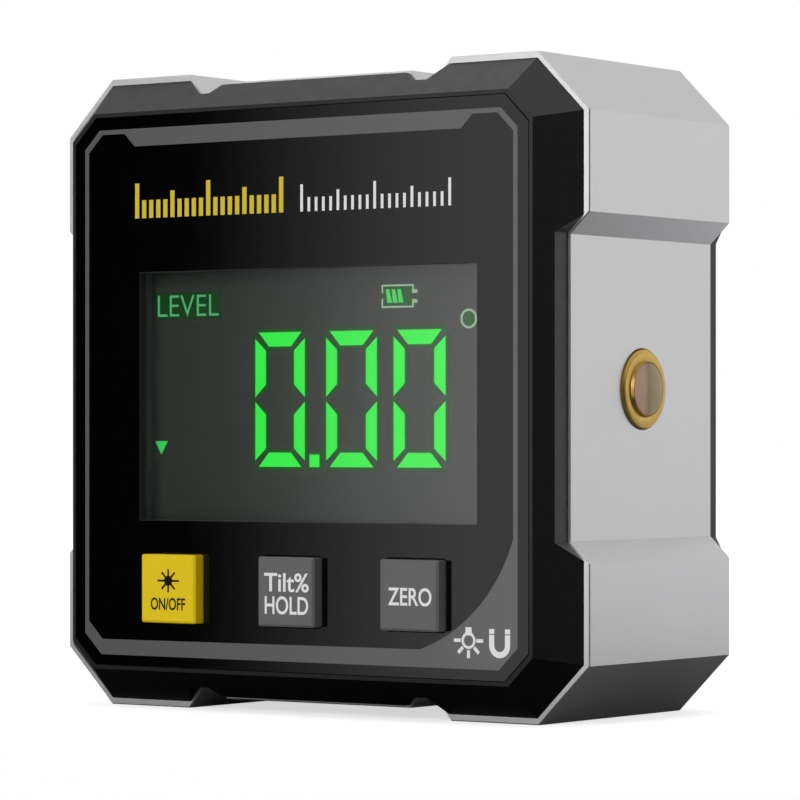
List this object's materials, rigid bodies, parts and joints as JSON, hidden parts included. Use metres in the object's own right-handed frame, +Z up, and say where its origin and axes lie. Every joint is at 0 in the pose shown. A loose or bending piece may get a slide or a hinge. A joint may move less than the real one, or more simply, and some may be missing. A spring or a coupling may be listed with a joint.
{
  "type": "digital laser level",
  "caption": "Pocket digital laser level: a square aluminium frame between bevelled covers, with an angle display, push buttons, a laser outlet in its side and a magnetic base.",
  "frame": {"origin": "bottom centre of the whole box, on the surface that the feet stand on", "axes": "+Z up, -Y out of the display side, +X out of the laser side"},
  "size_m": [0.06, 0.0314, 0.06],
  "materials": {
    "frame_silver": "satin",
    "cover_black": "fine moulded texture",
    "door_black": "fine moulded texture",
    "panel_black": "polished, with printed marks",
    "window_clear": "clear",
    "display_glass": "smooth",
    "guide_clear": "frosted",
    "lamp_white": "smooth",
    "strip_rubber": "matt",
    "holder_white": "matt",
    "board_green": "solder resist",
    "chip_black": "matt",
    "screw_steel": "zinc plated",
    "barrel_brass": "turned",
    "lens_glass": "coated",
    "can_gold": "plated",
    "mount_black": "matt",
    "cell_jacket": "plain jacket",
    "spring_steel": "bright",
    "contact_plate": "nickel plated",
    "button_yellow": "satin",
    "button_grey": "satin",
    "plunger_black": "smooth",
    "switch_body": "smooth",
    "magnet_nickel": "nickel plated"
  },
  "bodies": {
    "housing": {"mid_frame": "frame_silver", "front_cover": "cover_black", "front_panel": "panel_black", "display_window": "window_clear", "lcd_glass": "display_glass", "light_guide": "guide_clear", "backlight_lamps": "lamp_white", "lcd_contact_strip": "strip_rubber", "lcd_holder": "holder_white", "circuit_board": "board_green", "controller_chip": "chip_black", "tilt_sensor": "chip_black", "board_screws": "screw_steel", "laser_barrel": "barrel_brass", "laser_lens": "lens_glass", "laser_diode": "can_gold", "laser_board": "board_green", "laser_mount": "mount_black", "rear_cover": "cover_black", "battery_left": "cell_jacket", "battery_right": "cell_jacket", "battery_spring_left": "spring_steel", "battery_spring_right": "spring_steel", "contact_bridge": "contact_plate", "contact_negative": "contact_plate", "contact_positive": "contact_plate", "rear_screws": "screw_steel", "power_switch": "switch_body", "hold_switch": "switch_body", "zero_switch": "switch_body", "base_magnet_left_front": "magnet_nickel", "base_magnet_left_rear": "magnet_nickel", "base_magnet_right_front": "magnet_nickel", "base_magnet_right_rear": "magnet_nickel"},
    "power_key": {"power_button": "button_yellow", "power_plunger": "plunger_black"},
    "hold_key": {"hold_button": "button_grey", "hold_plunger": "plunger_black"},
    "zero_key": {"zero_button": "button_grey", "zero_plunger": "plunger_black"},
    "door": {"battery_door": "door_black"}
  },
  "joints": [
    {"name": "power_press", "type": "slide", "parent": "housing", "child": "power_key", "axis": [0, 1, 0], "range_m": [0, 0.0003], "stiffness_N_per_m": 4000},
    {"name": "hold_press", "type": "slide", "parent": "housing", "child": "hold_key", "axis": [0, 1, 0], "range_m": [0, 0.0003], "stiffness_N_per_m": 4000},
    {"name": "zero_press", "type": "slide", "parent": "housing", "child": "zero_key", "axis": [0, 1, 0], "range_m": [0, 0.0003], "stiffness_N_per_m": 4000},
    {"name": "battery_door_lift", "type": "slide", "parent": "housing", "child": "door", "axis": [0, 1, 0], "range_m": [0, 0.012]}
  ]
}
